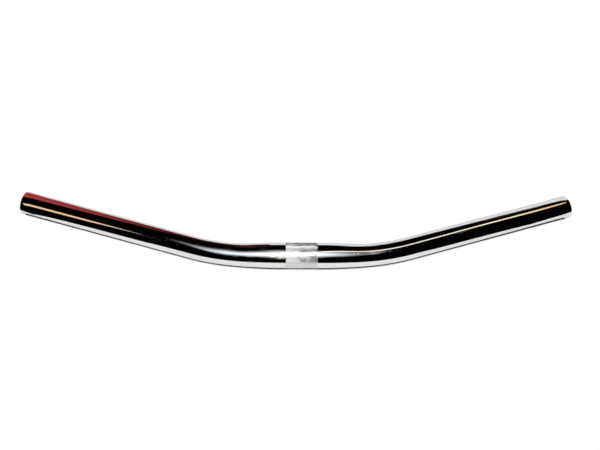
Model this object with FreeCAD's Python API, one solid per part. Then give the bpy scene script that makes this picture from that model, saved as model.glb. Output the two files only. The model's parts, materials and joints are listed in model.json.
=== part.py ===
import FreeCAD, Part
import math
import os

# Chosen sizes, in millimetres and degrees
overall_width = 540.0
sweep_angle = 16.0
bend_radius = 215.0
centre_straight = 92.0
clamp_diameter = 25.4
clamp_length = 40.0
taper_length = 50.0
grip_diameter = 22.2
wall_thickness = 1.6
rim_rounding = 0.6
mouth_chamfer = 0.4

# Diamond knurl on the clamp zone: grooves of each hand round the bar, and diamonds along it
knurl_length = 30.0
knurl_groove_count = 36
knurl_rows = 13
knurl_depth = 0.45
knurl_sink = 0.05

# Circles that shape each taper, and how closely the knurl's facets are sewn
taper_sections = 7
sewing_tolerance = 0.0001

# Sizes that follow
clamp_radius = clamp_diameter / 2
grip_radius = grip_diameter / 2
sweep = math.radians(sweep_angle)
bend_start = centre_straight / 2
bend_end = bend_start + bend_radius * sweep
taper_start = clamp_length / 2
taper_end = taper_start + taper_length
tip_reach = (grip_radius - rim_rounding) * math.sin(sweep) + rim_rounding * (1 - math.cos(sweep))
arm_length = (overall_width / 2 - tip_reach - bend_start - bend_radius * math.sin(sweep)) / math.cos(sweep)
bar_end = bend_end + arm_length
crest_radius = clamp_radius - knurl_sink
root_radius = crest_radius - knurl_depth

vector = FreeCAD.Vector
along_bar = vector(1, 0, 0)
upward = vector(0, 0, 1)
bend_centre = vector(bend_start, bend_radius, 0)


def centreline(distance):
    """Point and direction at this distance from the middle, along the right-hand half of the bar."""
    turned = min(max(distance - bend_start, 0), bend_end - bend_start) / bend_radius
    ahead = vector(math.cos(turned), math.sin(turned), 0)
    point = vector(min(distance, bend_start), 0, 0)
    point += vector(math.sin(turned), 1 - math.cos(turned), 0) * bend_radius
    point += ahead * max(distance - bend_end, 0)
    return point, ahead


def circle(distance, radius):
    point, ahead = centreline(distance)
    return Part.Wire(Part.makeCircle(radius, point, ahead))


def even_lengths(start, end, radius):
    """Solid rod of one radius between two distances: straight, bent and straight again."""
    stops = sorted({start, end} | {stop for stop in (bend_start, bend_end) if start < stop < end})
    lengths = []
    for near, far in zip(stops, stops[1:]):
        disc = Part.Face(circle(near, radius))
        ahead = centreline(near)[1]
        if bend_start <= near and far <= bend_end:
            lengths.append(disc.revolve(bend_centre, upward, math.degrees((far - near) / bend_radius)))
        else:
            lengths.append(disc.extrude(ahead * (far - near)))
    return lengths


def taper(clamp_size, grip_size, in_cones):
    """Swaged length whose radius eases from the clamp's to the grip's, smooth or as a run of cones."""
    sections = []
    for index in range(taper_sections):
        share = index / (taper_sections - 1)
        eased = share * share * (3 - 2 * share)
        radius = clamp_size + (grip_size - clamp_size) * eased
        sections.append(circle(taper_start + taper_length * share, radius))
    return Part.makeLoft(sections, True, in_cones)


def rounded_rim(length):
    """The last straight length with the outer edge of its cut end rounded over."""
    tip = centreline(bar_end)[0]
    rim = min(length.Edges, key=lambda edge: (edge.CenterOfMass - tip).Length)
    return length.makeFillet(rim_rounding, [rim])


def mouth(radius):
    """Chamfer that opens the bore at the cut end."""
    start, ahead = centreline(bar_end - mouth_chamfer)
    return Part.makeCone(radius, radius + 2 * mouth_chamfer, 2 * mouth_chamfer, start, ahead)


def both_sides(lengths):
    return lengths + [length.mirror(vector(0, 0, 0), along_bar) for length in lengths]


def joined(lengths):
    return lengths[0].multiFuse(lengths[1:])


def knurl():
    """Solid whose round side is all diamonds: crests and groove crossings take turns on a grid."""
    across = 2 * knurl_groove_count
    rows = 2 * knurl_rows
    points = []
    for row in range(rows + 1):
        for step in range(across):
            radius = root_radius if (row + step) % 2 else crest_radius
            angle = 2 * math.pi * step / across
            place = knurl_length * (row / rows - 1 / 2)
            points.append(vector(place, radius * math.cos(angle), radius * math.sin(angle)))
    left_hub = len(points)
    points.append(vector(-knurl_length / 2, 0, 0))
    right_hub = len(points)
    points.append(vector(knurl_length / 2, 0, 0))

    def at(row, step):
        return row * across + step % across

    facets = []
    for row in range(rows + 1):
        for step in range(row % 2, across, 2):
            if row < rows:
                facets.append((at(row, step), at(row, step + 1), at(row + 1, step)))
                facets.append((at(row, step), at(row + 1, step), at(row, step - 1)))
            if row > 0:
                facets.append((at(row, step), at(row, step - 1), at(row - 1, step)))
                facets.append((at(row, step), at(row - 1, step), at(row, step + 1)))
    for step in range(across):
        facets.append((left_hub, at(0, step + 1), at(0, step)))
        facets.append((right_hub, at(rows, step), at(rows, step + 1)))
    shell = Part.Shape()
    shell.makeShapeFromMesh((points, facets), sewing_tolerance)
    return Part.makeSolid(shell.Shells[0])


os.makedirs("parts", exist_ok=True)

clamp_side = even_lengths(knurl_length / 2, taper_start, clamp_radius)
arm = even_lengths(taper_end, bar_end, grip_radius)
arm[-1] = rounded_rim(arm[-1])
outside = joined([knurl()] + both_sides(clamp_side + [taper(clamp_radius, grip_radius, False)] + arm))

clamp_bore = clamp_radius - wall_thickness
grip_bore = grip_radius - wall_thickness
bore = even_lengths(0, taper_start, clamp_bore) + [taper(clamp_bore, grip_bore, True)]
bore += even_lengths(taper_end, bar_end - mouth_chamfer, grip_bore) + [mouth(grip_bore)]
handlebar = outside.cut(joined(both_sides(bore))).Solids[0]

handlebar.exportStep("parts/handlebar.step")
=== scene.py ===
import json
import math

import bpy
from mathutils import Matrix, Vector, noise


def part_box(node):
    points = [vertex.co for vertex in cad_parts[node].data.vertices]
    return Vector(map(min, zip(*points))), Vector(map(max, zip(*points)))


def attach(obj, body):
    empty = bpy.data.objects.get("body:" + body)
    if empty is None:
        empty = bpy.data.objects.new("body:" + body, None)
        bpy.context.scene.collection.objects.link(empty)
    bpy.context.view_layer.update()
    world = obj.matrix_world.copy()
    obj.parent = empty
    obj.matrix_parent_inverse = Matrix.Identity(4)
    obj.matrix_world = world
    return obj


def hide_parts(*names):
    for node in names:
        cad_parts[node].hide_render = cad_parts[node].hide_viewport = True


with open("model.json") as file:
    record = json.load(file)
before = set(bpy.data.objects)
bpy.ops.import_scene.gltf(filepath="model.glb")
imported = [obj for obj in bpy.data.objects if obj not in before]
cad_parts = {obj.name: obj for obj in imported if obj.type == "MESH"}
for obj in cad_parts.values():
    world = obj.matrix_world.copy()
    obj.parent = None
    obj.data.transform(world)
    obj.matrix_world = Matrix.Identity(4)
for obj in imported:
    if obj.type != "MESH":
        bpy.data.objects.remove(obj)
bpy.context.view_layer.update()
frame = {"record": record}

MM = 0.001

# Sizes that the frame gives
low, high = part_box("handlebar")
mounts = {mount["name"]: mount for mount in frame["record"]["mounts"]}
half_width = high.x
clamp_radius = min(high.z, -low.z, -low.y)
clamp_length = mounts["stem_clamp"]["dims"]["length_mm"] * MM
grip_radius = mounts["right_grip"]["dims"]["r_mm"] * MM
bore_radius = mounts["right_end_bore"]["dims"]["r_mm"] * MM
arm_axis = Vector(mounts["right_grip"]["axis"])
sweep = math.atan2(arm_axis.y, arm_axis.x)

# The bar's other sizes
bend_radius = 215 * MM
centre_straight = 92 * MM
taper_length = 50 * MM
rim_rounding = 0.6 * MM
mouth_chamfer = 0.4 * MM
knurl_length = 30 * MM
knurl_groove_count = 36
knurl_rows = 13
knurl_depth = 0.45 * MM
knurl_sink = 0.05 * MM
crest_flat = 0.5

# How finely the mesh follows the bar
samples_per_half_diamond = 4
around = 2 * knurl_groove_count * samples_per_half_diamond
arm_spacing = 9 * MM
bend_spacing = 2.5 * MM
bore_spacing = 8 * MM
rim_steps = 5
sharp_edge = math.radians(28)

# Sizes that follow
wall = grip_radius - bore_radius
bend_start = centre_straight / 2
bend_end = bend_start + bend_radius * sweep
taper_start = clamp_length / 2
tip_reach = (grip_radius - rim_rounding) * math.sin(sweep) + rim_rounding * (1 - math.cos(sweep))
arm_length = (half_width - tip_reach - bend_start - bend_radius * math.sin(sweep)) / math.cos(sweep)
bar_end = bend_end + arm_length
crest_radius = clamp_radius - knurl_sink
root_radius = crest_radius - knurl_depth

# Zones of wear, painted light and painted shade on the knurl, each from where it starts to where it is
# full, measured from the bar's middle
# The streak along the top is a painted highlight, and painted shade lies behind it
highlight_streak_zone = (2 * MM, 3 * MM)
shade_behind_highlight = (4.7 * MM, 5.9 * MM)
highlight_fade = (2 * MM, 14 * MM)
# Painted light on the front towards the left, and the height over which painted light comes in
left_painted_light = (1 * MM, -8 * MM)
painted_light_height = (0, 2 * MM)
# Painted shade along the top edge and underneath
top_edge_shade_height = (1 * MM, 5 * MM)
underside = (0, -1.5 * MM)
smear_foot = (8.2 * MM, 8.7 * MM)
smear_head = (10 * MM, 9.6 * MM)
smear_along = (-4 * MM, 8 * MM)
# Grime, with painted shade that grows to the right
grime_and_shade_along = (-8 * MM, 14 * MM)
rubbed_foot = (-1 * MM, 0)
rubbed_head = (8 * MM, 7 * MM)

# How far those zones drift
drift_along = 6 * MM
drift_back = 0.6 * MM

# The camera, as the photograph's outline gives it
image_width = 600
sensor_width = 36
focal_pixels = 720.6
camera_azimuth = math.radians(-7.09)
camera_elevation = math.radians(66.6)
camera_distance = 688.8 * MM
camera_target = Vector((-0.7, 32.6, 0)) * MM
camera_roll = math.radians(5.96)


def centreline(distance):
    """Point and direction at a signed distance along the bar from its middle."""
    side = math.copysign(1, distance)
    reach = abs(distance)
    turned = min(max(reach - bend_start, 0), bend_end - bend_start) / bend_radius
    beyond = max(reach - bend_end, 0)
    x = min(reach, bend_start) + bend_radius * math.sin(turned) + beyond * math.cos(turned)
    y = bend_radius * (1 - math.cos(turned)) + beyond * math.sin(turned)
    return Vector((side * x, y, 0)), Vector((math.cos(turned), side * math.sin(turned), 0))


def skin_radius(distance):
    """Clamp radius in the middle, then a smooth taper to the grip radius."""
    share = min(max((abs(distance) - taper_start) / taper_length, 0), 1)
    return clamp_radius + (grip_radius - clamp_radius) * share * share * (3 - 2 * share)


def off_crest(row, step):
    """How far from the nearest diamond's crest, towards its grooves of one hand and of the other.

    The place is counted in half diamonds along the band and round it, and a groove is 1 from the crest.
    """
    one_hand = (row + step) / 2
    other_hand = (row - step) / 2
    return 2 * abs(one_hand - round(one_hand)), 2 * abs(other_hand - round(other_hand))


def diamond_wear(row, step):
    """A number from 0 to 1 that differs from diamond to diamond."""
    one_hand = round((row + step) / 2)
    other_hand = round((row - step) / 2)
    turn = (one_hand - other_hand) % (2 * knurl_groove_count)
    return (noise.cell(Vector((turn, one_hand + other_hand, 0))) + 1) / 2


def half_diamonds(corners):
    """The middle of a face, counted in half diamonds along the knurl and round it."""
    return [sum(counts) / len(corners) / samples_per_half_diamond for counts in zip(*corners)]


def knurl_radius(row, step):
    """A flat top round each crest, and straight flanks down to the grooves."""
    down = max(max(off_crest(row, step)) - crest_flat, 0) / (1 - crest_flat)
    return crest_radius - knurl_depth * down


def knurl_cell(corners):
    """Two triangles that share the diagonal along the nearer groove."""
    first, second, third, fourth = corners
    one_hand, other_hand = off_crest(*half_diamonds(corners))
    if one_hand > other_hand:
        return [(first, second, fourth), (second, third, fourth)]
    return [(first, second, third), (first, third, fourth)]


def stops(start, end, spacing):
    """Even places from the start up to the end, which is left out."""
    count = math.ceil((end - start) / spacing)
    return [start + (end - start) * index / count for index in range(count)]


def half_outline():
    """The right half's skin, rim, mouth and bore: distance along the bar, radius and finish."""
    skin = stops(knurl_length / 2, taper_start, bend_spacing)
    skin += stops(taper_start, bend_end, bend_spacing)
    skin += stops(bend_end, bar_end - rim_rounding, arm_spacing)
    outline = [(distance, skin_radius(distance), "chrome") for distance in skin]
    for index in range(rim_steps + 1):
        angle = math.pi / 2 * index / rim_steps
        outline.append((bar_end - rim_rounding * (1 - math.sin(angle)),
                        grip_radius - rim_rounding * (1 - math.cos(angle)), "chrome"))
    outline.append((bar_end, bore_radius + mouth_chamfer, "chrome"))
    bore = stops(0, bend_end, bore_spacing)
    bore += stops(bend_end, bar_end - mouth_chamfer, arm_spacing)
    bore.append(bar_end - mouth_chamfer)
    outline += [(distance, skin_radius(distance) - wall, "bore") for distance in reversed(bore)]
    return outline


def knurl_rings():
    """Rings over the knurl from left to right: distance along the bar, radii round it and finish."""
    intervals = 2 * knurl_rows * samples_per_half_diamond
    rings = []
    for index in range(intervals + 1):
        row = index / samples_per_half_diamond
        radii = [knurl_radius(row, step / samples_per_half_diamond) for step in range(around)]
        rings.append((knurl_length * (index / intervals - 1 / 2), radii, "knurl"))
    return rings


def bar_rings():
    """One closed skin: over the knurl, out along the right half, back through the bore, and round."""
    right = half_outline()
    left = [(-distance, radius, finish) for distance, radius, finish in reversed(right[:-1])]
    rings = knurl_rings()
    rings += [(distance, [radius] * around, finish) for distance, radius, finish in right + left]
    return rings


def skin_points(rings):
    """The rings' points, bent with the bar, and the numbers of where they lie on a straight one."""
    points = []
    unbent = []
    for distance, radii, _ in rings:
        middle, ahead = centreline(distance)
        front = Vector((ahead.y, -ahead.x, 0))
        for step, radius in enumerate(radii):
            angle = 2 * math.pi * step / around
            forward = radius * math.cos(angle)
            up = radius * math.sin(angle)
            points.append(middle + front * forward + Vector((0, 0, up)))
            unbent += (distance, -forward, up)
    return points, unbent


def skin_faces(rings, order):
    """Faces between the rings, the place of each one's finish in the order, and its diamond's wear."""
    ring_finishes = [finish for _, _, finish in rings]
    faces = []
    slots = []
    wear = []
    for ring in range(len(rings)):
        ends = {ring_finishes[ring], ring_finishes[(ring + 1) % len(rings)]}
        finish = ends.pop() if len(ends) == 1 else "chrome"
        for step in range(around):
            corners = [(ring, step), (ring + 1, step), (ring + 1, step + 1), (ring, step + 1)]
            cells = knurl_cell(corners) if finish == "knurl" else [corners]
            for cell in cells:
                faces.append([row % len(rings) * around + turn % around for row, turn in cell])
                slots.append(order.index(finish))
                wear.append(diamond_wear(*half_diamonds(cell)) if finish == "knurl" else 0)
    return faces, slots, wear


def bar_mesh(order):
    rings = bar_rings()
    points, unbent = skin_points(rings)
    faces, slots, wear = skin_faces(rings, order)
    mesh = bpy.data.meshes.new("handlebar_tube")
    mesh.from_pydata(points, [], faces)
    mesh.attributes.new("unbent", "FLOAT_VECTOR", "POINT").data.foreach_set("vector", unbent)
    mesh.attributes.new("wear", "FLOAT", "FACE").data.foreach_set("value", wear)
    mesh.polygons.foreach_set("material_index", slots)
    mesh.polygons.foreach_set("use_smooth", [True] * len(faces))
    mesh.set_sharp_from_angle(angle=sharp_edge)
    return mesh


class Nodes:
    """Short calls for building one node tree.

    A grain is so many features a metre along the bar and across it, and most of a noise's values lie in
    the range that most_noise gives.
    """

    most_noise = (0.3, 0.7)

    def __init__(self, owner):
        owner.use_nodes = True
        self.nodes = owner.node_tree.nodes
        self.links = owner.node_tree.links

    def add(self, kind, inputs=None, **settings):
        made = self.nodes.new(kind)
        for name, value in settings.items():
            setattr(made, name, value)
        for name, value in (inputs or {}).items():
            self.put(value, made.inputs[name])
        return made

    def put(self, value, socket):
        """Link an output to the socket, or set the socket to a plain value."""
        if isinstance(value, bpy.types.NodeSocket):
            self.links.new(value, socket)
        else:
            socket.default_value = value

    def place(self):
        """Where the point would lie if the bar were straight."""
        return self.add("ShaderNodeAttribute", attribute_name="unbent").outputs["Vector"]

    def axes(self):
        """The place along the bar, to the back and up, as X, Y and Z."""
        return self.add("ShaderNodeSeparateXYZ", {"Vector": self.place()}).outputs

    def scaled(self, grain):
        along, across = grain
        scale = (along, across, across)
        return self.add("ShaderNodeMapping", {"Vector": self.place(), "Scale": scale}).outputs[0]

    def noise(self, grain, detail=3):
        inputs = {"Vector": self.scaled(grain), "Scale": 1, "Detail": detail}
        return self.add("ShaderNodeTexNoise", inputs).outputs["Fac"]

    def ramp(self, value, span, at_start, at_end):
        """From one number at the span's start to another at its end, and level beyond them."""
        inputs = {"Value": value, "From Min": span[0], "From Max": span[1],
                  "To Min": at_start, "To Max": at_end}
        return self.add("ShaderNodeMapRange", inputs).outputs["Result"]

    def rise(self, value, span):
        """From 0 at the span's start to 1 at its end, and level beyond them."""
        return self.ramp(value, span, 0, 1)

    def math(self, operation, first, second=0):
        return self.add("ShaderNodeMath", {0: first, 1: second}, operation=operation).outputs[0]

    def plus(self, first, second):
        return self.math("ADD", first, second)

    def minus(self, first, second):
        return self.math("SUBTRACT", first, second)

    def times(self, first, second):
        return self.math("MULTIPLY", first, second)

    def length(self, vector):
        return self.add("ShaderNodeVectorMath", {0: vector}, operation="LENGTH").outputs["Value"]

    def blend(self, share, first, second):
        """Colour that goes from the first to the second as share goes from 0 to 1."""
        mixer = self.add("ShaderNodeMix", data_type="RGBA")
        self.put(share, mixer.inputs["Factor"])
        sockets = [socket for socket in mixer.inputs if socket.type == "RGBA"]
        for socket, colour in zip(sockets, (first, second)):
            self.put(colour if isinstance(colour, bpy.types.NodeSocket) else (*colour, 1), socket)
        return next(socket for socket in mixer.outputs if socket.type == "RGBA")

    def bump(self, height, distance, normal=None):
        made = self.add("ShaderNodeBump", {"Height": height, "Distance": distance})
        if normal:
            self.put(normal, made.inputs["Normal"])
        return made.outputs["Normal"]


def new_material(name):
    """A new material, its nodes, and the inputs of its shader."""
    material = bpy.data.materials.new(name)
    tree = Nodes(material)
    return material, tree, tree.nodes["Principled BSDF"].inputs


def scratches(tree):
    """Hair scratches along the bar, 1 in a scratch and 0 elsewhere."""
    grain = (18, 1500)
    edge = (0.66, 0.72)
    return tree.rise(tree.noise(grain, detail=2), edge)


def pits(tree):
    """Scattered pin pits in the plating, 1 in a pit and 0 elsewhere."""
    grain = (320, 320)
    pitted_cells = (0.8, 0.82)
    pit_edge = (0.09, 0.05)
    cells = tree.add("ShaderNodeTexVoronoi", {"Vector": tree.scaled(grain), "Scale": 1}).outputs
    draw = tree.add("ShaderNodeSeparateColor", {"Color": cells["Color"]}).outputs[0]
    return tree.times(tree.rise(draw, pitted_cells), tree.rise(cells["Distance"], pit_edge))


def dashes(tree):
    """Short marks round the bar, 1 in a mark and 0 elsewhere, and fainter in the middle of the bar."""
    grain = (2200, 500)
    edge = (0.65, 0.73)
    faint_middle = (58 * MM, 70 * MM)
    faint = 0.2
    mark = tree.rise(tree.noise(grain, detail=2), edge)
    off_middle = tree.math("ABSOLUTE", tree.axes()["X"])
    return tree.times(mark, tree.ramp(off_middle, faint_middle, faint, 1))


def polished_chrome():
    """Buffed chrome, a little wavy, with short marks, hair scratches and pin pits."""
    plating_colours = (0.73, 0.73, 0.725), (0.765, 0.765, 0.76)
    pit_colour = (0.2, 0.18, 0.16)
    grazing_tint = (0.62, 0.62, 0.62, 1)
    plating_grain = (14, 60)
    buffing_grain = (1100, 240)
    wave_grain = (22, 40)
    buffing_span = (0.3, 0.75)
    buffed_roughness = (0.02, 0.06)
    flaw_roughness = 0.22
    wave_height = 0.03 * MM
    dash_depth = 0.007 * MM
    buffing_height = 0.012 * MM
    flaw_depth = 0.01 * MM
    material, tree, shader = new_material("polished_chrome")
    pit = pits(tree)
    flaw = tree.math("MAXIMUM", scratches(tree), pit)
    plating = tree.blend(tree.noise(plating_grain), *plating_colours)
    buffing = tree.noise(buffing_grain)
    roughness = tree.ramp(buffing, buffing_span, *buffed_roughness)
    wavy = tree.bump(tree.noise(wave_grain, detail=1), wave_height)
    dashed = tree.bump(dashes(tree), -dash_depth, wavy)
    buffed = tree.bump(buffing, buffing_height, dashed)
    tree.put(tree.blend(pit, plating, pit_colour), shader["Base Color"])
    tree.put(tree.plus(roughness, tree.times(flaw, flaw_roughness)), shader["Roughness"])
    tree.put(tree.bump(flaw, -flaw_depth, buffed), shader["Normal"])
    shader["Metallic"].default_value = 1
    shader["Specular Tint"].default_value = grazing_tint
    return material


def knurl_wear_and_light(tree):
    """How pale the flanks of the diamonds are and how far their tops give up their polish, both from 0 to
    1.

    A pale streak along the top is a painted highlight, and the front is painted lighter towards the left;
    where light is painted, the tops give up their polish. Grime, with painted shade that grows to the
    right, lies over the knurl; painted shade lies behind the streak and underneath, grime lies in a smear
    along the front, and it is all rubbed even below the smear.
    """
    drift_grain = (150, 200)
    highlight_faded = 0.6
    left_painted_light_most = 0.42
    top_edge_shade_most = 0.6
    underside_most = 0.7
    smear_most = 0.6
    grime_and_shade_left = 0.15
    grime_and_shade_right = 0.55
    grime_lit_off = 0.4
    clean_and_lit_span = (-0.2, 0.25)
    rubbed_clean = 0.66
    place = tree.axes()
    up = place["Z"]
    front = tree.math("LESS_THAN", place["Y"], 0)
    drift = tree.ramp(tree.noise(drift_grain, detail=1), tree.most_noise, -1, 1)
    along = tree.plus(place["X"], tree.times(drift, drift_along))
    back = tree.plus(place["Y"], tree.times(drift, drift_back))
    # Painted highlight in a streak along the top, and painted shade behind it
    shade_behind = tree.rise(back, shade_behind_highlight)
    highlight_streak = tree.minus(tree.rise(back, highlight_streak_zone), shade_behind)
    highlight_streak = tree.times(highlight_streak, tree.ramp(along, highlight_fade, 1, highlight_faded))
    # Painted light on the front towards the left
    painted_light = tree.times(front, tree.ramp(along, left_painted_light, 0, left_painted_light_most))
    painted_light = tree.times(tree.math("MAXIMUM", highlight_streak, painted_light), tree.rise(up, painted_light_height))
    # Painted shade along the top edge and underneath, then grime in a smear along the front
    shade_and_smear = tree.times(shade_behind, tree.ramp(up, top_edge_shade_height, 0, top_edge_shade_most))
    shade_and_smear = tree.plus(shade_and_smear, tree.ramp(up, underside, 0, underside_most))
    smear = tree.times(tree.rise(up, smear_foot), tree.rise(up, smear_head))
    smear = tree.times(smear, tree.ramp(along, smear_along, 0, smear_most))
    shade_and_smear = tree.plus(shade_and_smear, tree.times(front, smear))
    # Grime, with painted shade that grows to the right, less where light is painted
    grime_and_shade = tree.plus(shade_and_smear, tree.ramp(along, grime_and_shade_along, grime_and_shade_left, grime_and_shade_right))
    grime_and_shade = tree.minus(grime_and_shade, tree.times(painted_light, grime_lit_off))
    wear = tree.add("ShaderNodeAttribute", attribute_name="wear").outputs["Fac"]
    clean_and_lit = tree.rise(tree.minus(wear, grime_and_shade), clean_and_lit_span)
    rubbed = tree.times(tree.rise(up, rubbed_head), tree.rise(up, rubbed_foot))
    evened = tree.times(tree.minus(rubbed_clean, clean_and_lit), tree.times(front, rubbed))
    return tree.plus(clean_and_lit, evened), painted_light


def knurled_chrome():
    """Dull grooves, flanks that are pale or grimy from diamond to diamond and in zones of painted light
    and painted shade, and polished tops.
    """
    groove_colours = (0.55, 0.545, 0.54), (0.8, 0.8, 0.8)
    grime_and_shade_colour = (0.08, 0.08, 0.085)
    clean_and_lit_colour = (0.93, 0.92, 0.92)
    top_colour = (0.5, 0.5, 0.5)
    groove_edge = (0.05, 0.4)
    top_edge = (0.9, 1)
    groove_roughness = 0.5
    top_roughness = 0.1
    grain_roughness = 0.1
    grain_size = (3500, 3500)
    grain_height = 0.02 * MM
    grain_fade = (0.7, 1)
    grain_left_on_top = 0.1
    side_metallic = 0.1
    side_specular = 0.05
    material, tree, shader = new_material("knurled_chrome")
    across = tree.add("ShaderNodeVectorMath", {0: tree.place(), 1: (0, 1, 1)}, operation="MULTIPLY")
    crest = tree.rise(tree.length(across.outputs[0]), (root_radius, crest_radius))
    grain = tree.noise(grain_size)
    clean_and_lit, painted_light = knurl_wear_and_light(tree)
    groove = tree.blend(grain, *groove_colours)
    # Flanks go from dark to pale with grime and wear, and with painted shade and painted light
    flank = tree.blend(clean_and_lit, grime_and_shade_colour, clean_and_lit_colour)
    sides = tree.blend(tree.rise(crest, groove_edge), groove, flank)
    # Tops give up their polish where light is painted
    polish = tree.times(tree.rise(crest, top_edge), tree.minus(1, painted_light))
    roughness = tree.ramp(crest, (0, 1), groove_roughness, top_roughness)
    roughness = tree.plus(roughness, tree.ramp(grain, tree.most_noise, 0, grain_roughness))
    height = tree.times(grain, tree.ramp(crest, grain_fade, 1, grain_left_on_top))
    tree.put(tree.blend(polish, sides, top_colour), shader["Base Color"])
    tree.put(roughness, shader["Roughness"])
    tree.put(tree.ramp(polish, (0, 1), side_metallic, 1), shader["Metallic"])
    tree.put(tree.bump(height, grain_height), shader["Normal"])
    shader["Specular IOR Level"].default_value = side_specular
    return material


def bare_bore():
    """Drawn steel with rust spots, behind a mouth that the plating reaches into with a ragged edge."""
    steel_colour = (0.34, 0.33, 0.32)
    rust_colour = (0.2, 0.13, 0.085)
    plating_colour = (0.66, 0.67, 0.68)
    plating_roughness = 0.14
    steel_roughness = 0.4
    drawn_roughness = 0.15
    drawn_grain = (30, 900)
    drawn_height = 0.03 * MM
    rust_grain = (90, 90)
    rust_edge = (0.5, 0.68)
    ragged_grain = (260, 160)
    ragged_depth = 8 * MM
    plating_ends = (11 * MM, 19 * MM)
    material, tree, shader = new_material("bare_steel_bore")
    depth = tree.minus(bar_end, tree.math("ABSOLUTE", tree.axes()["X"]))
    ragged = tree.plus(depth, tree.times(tree.noise(ragged_grain), ragged_depth))
    bare = tree.rise(ragged, plating_ends)
    drawn = tree.noise(drawn_grain)
    rust = tree.rise(tree.noise(rust_grain), rust_edge)
    steel = tree.blend(rust, steel_colour, rust_colour)
    roughness = tree.ramp(bare, (0, 1), plating_roughness, steel_roughness)
    roughness = tree.plus(roughness, tree.ramp(drawn, tree.most_noise, 0, drawn_roughness))
    tree.put(tree.blend(bare, plating_colour, steel), shader["Base Color"])
    tree.put(roughness, shader["Roughness"])
    tree.put(tree.bump(drawn, drawn_height), shader["Normal"])
    shader["Metallic"].default_value = 1
    return material


finishes = {"chrome": polished_chrome(), "knurl": knurled_chrome(), "bore": bare_bore()}
bar = bpy.data.objects.new("handlebar_tube", bar_mesh(list(finishes)))
bpy.context.scene.collection.objects.link(bar)
for material in finishes.values():
    bar.data.materials.append(material)
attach(bar, "root")
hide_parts("handlebar")


# The floor lies as the bar rests, on the clamp zone and both tips
floor_reach = 8
floor_white = 0.9
floor_slope = (clamp_radius - grip_radius) / centreline(bar_end)[0].y

# Heights of what the bar mirrors: on the floor, and overhead
floor_gap = 1 * MM
lamp_height = 1.5
lamp_gap = 10 * MM
room_radius = 5

# Overhead strips, as places across and to the back, from the bar's middle outwards
right_strip_back = [(0.14, 0.425), (0.53, 0.742), (0.66, 0.93), (0.8, 0.958),
                    (0.91, 1.055), (0.97, 1.16), (1.15, 1.27)]
right_strip_front = [(0.14, 0.225), (0.53, 0.486), (0.66, 0.63), (0.8, 0.59),
                     (0.91, 0.545), (0.97, 0.74), (1.15, 0.89)]
right_strip_change = (0.6, 1)
right_strip_colours = (1.8, 1.5, 1.17), (1.05, 0.68, 0.2)
left_strip_back = [(-0.82, -0.55), (-0.905, -0.5), (-0.99, -0.48),
                   (-1.07, -0.445), (-1.195, -0.456), (-1.6, -0.6)]
left_strip_front = [(-0.83, -0.57), (-0.99, -0.69), (-1.22, -0.95),
                    (-1.38, -1.015), (-1.547, -1.046), (-2, -1.3)]
left_strip_change = (-0.85, -1.05)
left_strip_colours = (1.4, 1.05, 1), (1.17, 0.77, 0.42)

# Overhead lights, the lowest first: middle and reach, both across and to the back, and colour
soft_lights = {
    "soft_middle": ((-0.018, -0.4), (0.323, 1.38), (1.36, 1.36, 1.37)),
    "soft_left": ((-0.275, -0.32), (0.278, 0.79), (0.97, 1.07, 1.22)),
    "soft_right": ((0.261, -0.297), (0.227, 0.838), (1.0, 1.05, 1.17)),
    "bright_core": ((0.073, -0.28), (0.053, 0.62), (38, 38, 38)),
    "warm_patch": ((0.01, -1.65), (0.045, 1.0), (0.85, 0.8, 0.6)),
}


def on_floor(x, y, lift=0):
    return Vector((x, y, y * floor_slope - clamp_radius + lift))


def toward(azimuth, elevation):
    """Direction from the bar; azimuth 0 is the front, where -Y points."""
    level = math.cos(elevation)
    return Vector((math.sin(azimuth) * level, -math.cos(azimuth) * level, math.sin(elevation)))


def stage_piece(name, points, faces, material):
    mesh = bpy.data.meshes.new(name)
    mesh.from_pydata(points, [], faces)
    mesh.materials.append(material)
    piece = bpy.data.objects.new(name, mesh)
    bpy.context.scene.collection.objects.link(piece)
    return piece


def mirrored_piece(name, points, faces, material):
    """A stage piece that shows only as a reflection in the bar."""
    piece = stage_piece(name, points, faces, material)
    piece.visible_camera = False
    piece.visible_diffuse = False
    piece.visible_transmission = False
    piece.visible_shadow = False
    return piece


def ladder(one_edge, other_edge):
    """Points and faces of a strip between two edges that have as many points."""
    points = [point for pair in zip(one_edge, other_edge) for point in pair]
    faces = [(start, start + 2, start + 3, start + 1) for start in range(0, len(points) - 2, 2)]
    return points, faces


def glow(name):
    """An emission material, its nodes, and the emission's inputs."""
    material = bpy.data.materials.new(name)
    tree = Nodes(material)
    tree.nodes.remove(tree.nodes["Principled BSDF"])
    emission = tree.add("ShaderNodeEmission")
    tree.put(emission.outputs[0], tree.nodes["Material Output"].inputs["Surface"])
    return material, tree, emission.inputs


def plain_glow(name, colour):
    material, _, emission = glow(name)
    emission["Color"].default_value = (*colour, 1)
    return material


def changing_glow(name, change, colours):
    """An emission material whose colour goes from one to another between two places across."""
    material, tree, emission = glow(name)
    position = tree.add("ShaderNodeNewGeometry").outputs["Position"]
    across = tree.add("ShaderNodeSeparateXYZ", {"Vector": position}).outputs["X"]
    tree.put(tree.blend(tree.rise(across, change), *colours), emission["Color"])
    return material


def white_floor():
    material, _, shader = new_material("white_floor")
    shader["Base Color"].default_value = (floor_white, floor_white, floor_white, 1)
    shader["Roughness"].default_value = 1
    shader["Specular IOR Level"].default_value = 0
    corners = [(-1, -1), (1, -1), (1, 1), (-1, 1)]
    points = [on_floor(x * floor_reach, y * floor_reach) for x, y in corners]
    stage_piece("floor", points, [(0, 1, 2, 3)], material)


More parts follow.
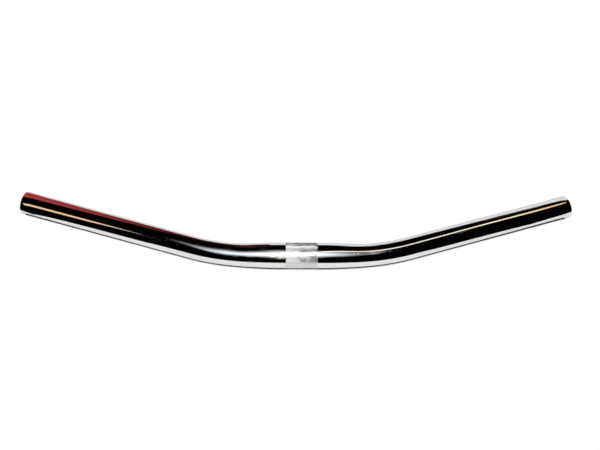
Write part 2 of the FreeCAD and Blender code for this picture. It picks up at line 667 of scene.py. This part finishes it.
def dark_dome(material):
    """A dome round the white floor, whose foot stands higher at the back and at the left."""
    foot = math.radians(3.45)
    back_rise = math.radians(1.45)
    left_rise = math.radians(2.5)
    columns = 48
    rows = 12
    points = []
    for row in range(rows + 1):
        for column in range(columns):
            turn = 2 * math.pi * column / columns
            lowest = foot + back_rise * math.sin(turn) - left_rise * math.cos(turn)
            height = lowest + (math.pi / 2 - lowest) * row / rows
            level = room_radius * math.cos(height)
            points.append((level * math.cos(turn), level * math.sin(turn), room_radius * math.sin(height)))
    faces = []
    for row in range(rows):
        for column in range(columns):
            here = row * columns + column
            beside = row * columns + (column + 1) % columns
            faces.append((here, beside, beside + columns, here + columns))
    mirrored_piece("dark_room", points, faces, material)


def dark_sheet(name, side, near, back, corner, material):
    """A sheet beside the front of the white floor, which it rises from and leaves wider to the front."""
    widens_from = -0.19
    far_lift = 1
    outline = [(near, back), (near, widens_from), (corner, -room_radius),
               (room_radius, -room_radius), (room_radius, back)]
    points = []
    for x, y in outline:
        away = (x - near) / (room_radius - near)
        points.append(on_floor(side * x, y, floor_gap + far_lift * away))
    mirrored_piece(name, points, [tuple(range(len(points)))], material)


def dark_room():
    material = plain_glow("dark_room", (0.0008, 0.0008, 0.001))
    dark_dome(material)
    dark_sheet("dark_floor_left", side=-1, near=0.272, back=0.028, corner=2.7, material=material)
    dark_sheet("dark_floor_right", side=1, near=0.265, back=-0.01, corner=3.2, material=material)


def warm_strip(name, back_edge, front_edge, change, colours):
    """An overhead strip between two edges, whose colour changes between two places across."""
    back = [(x, y, lamp_height) for x, y in back_edge]
    front = [(x, y, lamp_height) for x, y in front_edge]
    mirrored_piece(name, *ladder(back, front), changing_glow(name, change, colours))


def soft_light(name, middle, reach, colour):
    """An oval overhead light that fades out from its middle and lets what is above it show through."""
    sides = 48
    material, tree, emission = glow(name)
    off_middle = tree.length(tree.add("ShaderNodeTexCoord").outputs["Object"])
    inward = tree.minus(1, tree.times(off_middle, off_middle))
    emission["Color"].default_value = (*colour, 1)
    tree.put(tree.times(inward, inward), emission["Strength"])
    clear = tree.add("ShaderNodeBsdfTransparent").outputs[0]
    both = tree.add("ShaderNodeAddShader", {0: clear, 1: tree.nodes["Emission"].outputs[0]}).outputs[0]
    tree.put(both, tree.nodes["Material Output"].inputs["Surface"])
    turns = [2 * math.pi * side / sides for side in range(sides)]
    points = [(math.cos(turn), math.sin(turn), 0) for turn in turns]
    light = mirrored_piece(name, points, [tuple(range(sides))], material)
    light.location = middle
    light.scale = (*reach, 1)


def red_card():
    """A red sheet that lies on the floor behind the left arm and rises away from it."""
    near_edge = [(-0.9, 0.27), (-0.29, 0.097), (-0.2, 0.15), (-0.035, 0.16)]
    top_edge = [(-1.3, 1.35), (-0.65, 1.2), (-0.45, 0.974), (-0.03, 0.5)]
    top_back = 1.2
    change = (-0.06, -0.31)
    colours = (0.018, 0.004, 0.004), (0.49, 0.059, 0.058)
    near = [on_floor(x, y, floor_gap) for x, y in near_edge]
    top = [(x, top_back, height) for x, height in top_edge]
    mirrored_piece("red_card", *ladder(near, top), changing_glow("red_card", change, colours))


def white_card():
    """A bright card that stands behind the right arm, higher towards its far end."""
    near = 0.12
    far = 0.9
    back = 1
    near_top = 0.09
    far_top = 0.72
    foot = [on_floor(near, back), on_floor(far, back)]
    top = [(near, back, near_top), (far, back, far_top)]
    mirrored_piece("white_card", *ladder(foot, top), plain_glow("white_card", (0.95, 0.95, 0.95)))


def contact_shadow():
    """A painted contact shadow: a dark line on the floor along the bar's front, wider towards the ends and
    widest at the right, that shows only in the bar's reflection.
    """
    # How far its edges lie in front of the centreline, in radii of the bar
    inner = 0.5
    outer_middle = 1.35
    outer_left = 1.65
    outer_right = 1.95
    edges = [], []
    for distance in stops(-bar_end, bar_end, arm_spacing) + [bar_end]:
        middle, ahead = centreline(distance)
        outer_end = outer_right if distance > 0 else outer_left
        outer = outer_middle + (outer_end - outer_middle) * abs(distance) / bar_end
        for edge, reach in zip(edges, (inner, outer)):
            place = middle + Vector((ahead.y, -ahead.x, 0)) * skin_radius(distance) * reach
            edge.append(on_floor(place.x, place.y, floor_gap))
    mirrored_piece("contact_shadow", *ladder(*edges), plain_glow("contact_shadow", (0.03, 0.03, 0.03)))


def key_light():
    """A soft sun from a little above the camera."""
    elevation = math.radians(71)
    lamp = bpy.data.lights.new("key", "SUN")
    lamp.energy = 3.4
    lamp.angle = math.radians(10)
    key = bpy.data.objects.new("key", lamp)
    bpy.context.scene.collection.objects.link(key)
    key.visible_glossy = False
    key.rotation_euler = toward(camera_azimuth, elevation).to_track_quat("Z", "Y").to_euler()


def white_world():
    """White where it is seen or mirrored, and a faint fill light elsewhere."""
    fill = 0.1
    world = bpy.data.worlds.new("white_world")
    bpy.context.scene.world = world
    tree = Nodes(world)
    ray = tree.add("ShaderNodeLightPath").outputs
    seen = tree.plus(ray["Is Camera Ray"], ray["Is Glossy Ray"])
    seen = tree.plus(seen, ray["Is Transmission Ray"])
    background = tree.nodes["Background"].inputs
    background["Color"].default_value = (1, 1, 1, 1)
    tree.put(tree.ramp(seen, (0, 1), fill, 1), background["Strength"])


def photograph_camera():
    lens = bpy.data.cameras.new("camera")
    lens.sensor_width = sensor_width
    lens.lens = focal_pixels * sensor_width / image_width
    camera = bpy.data.objects.new("camera", lens)
    bpy.context.scene.collection.objects.link(camera)
    camera.location = toward(camera_azimuth, camera_elevation) * camera_distance
    aim = (camera_target - camera.location).to_track_quat("-Z", "Y").to_matrix()
    camera.rotation_euler = (aim @ Matrix.Rotation(camera_roll, 3, "Z")).to_euler()
    bpy.context.scene.camera = camera


white_floor()
dark_room()
warm_strip("right_strip", right_strip_back, right_strip_front, right_strip_change, right_strip_colours)
warm_strip("left_strip", left_strip_back, left_strip_front, left_strip_change, left_strip_colours)
for place, (name, (middle, reach, colour)) in enumerate(soft_lights.items(), 1):
    soft_light(name, (*middle, lamp_height + place * lamp_gap), reach, colour)
red_card()
white_card()
contact_shadow()
key_light()
white_world()
photograph_camera()

bpy.context.scene.view_settings.view_transform = "Standard"
